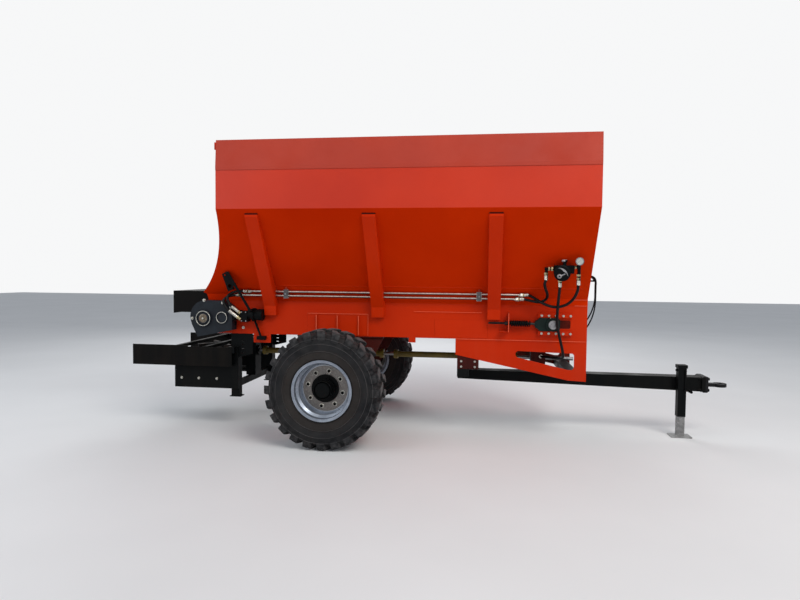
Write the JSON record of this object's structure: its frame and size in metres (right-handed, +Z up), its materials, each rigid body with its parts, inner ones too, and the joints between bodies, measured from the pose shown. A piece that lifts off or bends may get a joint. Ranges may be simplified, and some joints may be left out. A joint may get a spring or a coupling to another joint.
{
  "type": "manure spreader",
  "caption": "Towed manure spreader with a sloped open hopper, chain-and-slat floor, rear spreading discs, single axle, drawbar eye and parking jack.",
  "frame": {"origin": "on the ground, midway along the whole length and on the middle plane", "axes": "+X towards the drawbar eye, +Y to the left side, +Z up"},
  "size_m": [5.488, 2.26, 2.5501],
  "materials": {
    "orange_paint": "gloss",
    "black_paint": "semi-gloss",
    "dark_red_paint": "satin",
    "charcoal_cast": "satin",
    "forged_steel": "satin",
    "bare_steel": "satin",
    "zinc_plate": "satin",
    "yellow_guard": "matte",
    "hose_rubber": "matte",
    "tyre_rubber": "matte"
  },
  "bodies": {
    "frame": {"hopper_side_right": "orange_paint", "hopper_side_left": "orange_paint", "top_boards": "orange_paint", "front_wall": "orange_paint", "rear_wall": "orange_paint", "ribs": "orange_paint", "channel_right": "orange_paint", "channel_left": "orange_paint", "front_aprons": "orange_paint", "cross_members": "orange_paint", "takeup_guides": "orange_paint", "hydraulic_motor": "black_paint", "torque_arm": "black_paint", "drawbar": "black_paint", "jack_tube": "black_paint", "axle_beam": "black_paint", "transfer_case": "black_paint", "spinner_gearboxes": "black_paint", "spinner_frame": "black_paint", "side_shields": "black_paint", "rear_hood": "black_paint", "hood_sides": "black_paint", "hood_back": "black_paint", "flow_valve": "black_paint", "takeup_bearings": "black_paint", "hose_rack": "black_paint", "drawbar_brackets": "dark_red_paint", "axle_plates": "dark_red_paint", "oil_pump": "dark_red_paint", "reducer": "charcoal_cast", "drive_bearing": "charcoal_cast", "hitch_eye": "forged_steel", "floor_plate": "bare_steel", "conveyor": "bare_steel", "drive_shaft": "bare_steel", "idler_shaft": "bare_steel", "takeup_screws": "bare_steel", "steel_pipes": "zinc_plate", "jack_crank": "zinc_plate", "hose_fittings": "zinc_plate", "pto_guard": "yellow_guard", "valve_hoses": "hose_rubber", "supply_hose": "hose_rubber", "return_hose": "hose_rubber"},
    "wheel_right": {"tyre_right": "tyre_rubber", "rim_right": "zinc_plate", "hub_right": "black_paint"},
    "wheel_left": {"tyre_left": "tyre_rubber", "rim_left": "zinc_plate", "hub_left": "black_paint"},
    "jack": {"jack_leg": "zinc_plate"},
    "gate": {"metering_gate": "black_paint"},
    "right_disc": {"disc_right": "bare_steel"},
    "left_disc": {"disc_left": "bare_steel"},
    "drive_line": {"pto_shaft": "bare_steel"}
  },
  "joints": [
    {"name": "wheel_right_spin", "type": "hinge", "parent": "frame", "child": "wheel_right", "pos_m": [-0.759, -0.965, 0.4925], "axis": [0, 1, 0], "continuous": true},
    {"name": "wheel_left_spin", "type": "hinge", "parent": "frame", "child": "wheel_left", "pos_m": [-0.759, 0.965, 0.4925], "axis": [0, 1, 0], "continuous": true},
    {"name": "jack_slide", "type": "slide", "parent": "frame", "child": "jack", "axis": [0, 0, 1], "range_m": [0, 0.15]},
    {"name": "gate_slide", "type": "slide", "parent": "frame", "child": "gate", "axis": [0, 0, 1], "range_m": [0, 0.33]},
    {"name": "disc_right_spin", "type": "hinge", "parent": "frame", "child": "right_disc", "pos_m": [-2.246, -0.29, 0.64], "axis": [0, 0, 1], "continuous": true},
    {"name": "disc_left_spin", "type": "hinge", "parent": "frame", "child": "left_disc", "pos_m": [-2.246, 0.29, 0.64], "axis": [0, 0, 1], "continuous": true},
    {"name": "drive_line_spin", "type": "hinge", "parent": "frame", "child": "drive_line", "pos_m": [0, 0, 0.665], "axis": [1, 0, 0], "continuous": true}
  ],
  "couplings": [
    {"joint": "disc_right_spin", "follows": "drive_line_spin", "ratio": 1},
    {"joint": "disc_left_spin", "follows": "drive_line_spin", "ratio": -1}
  ]
}
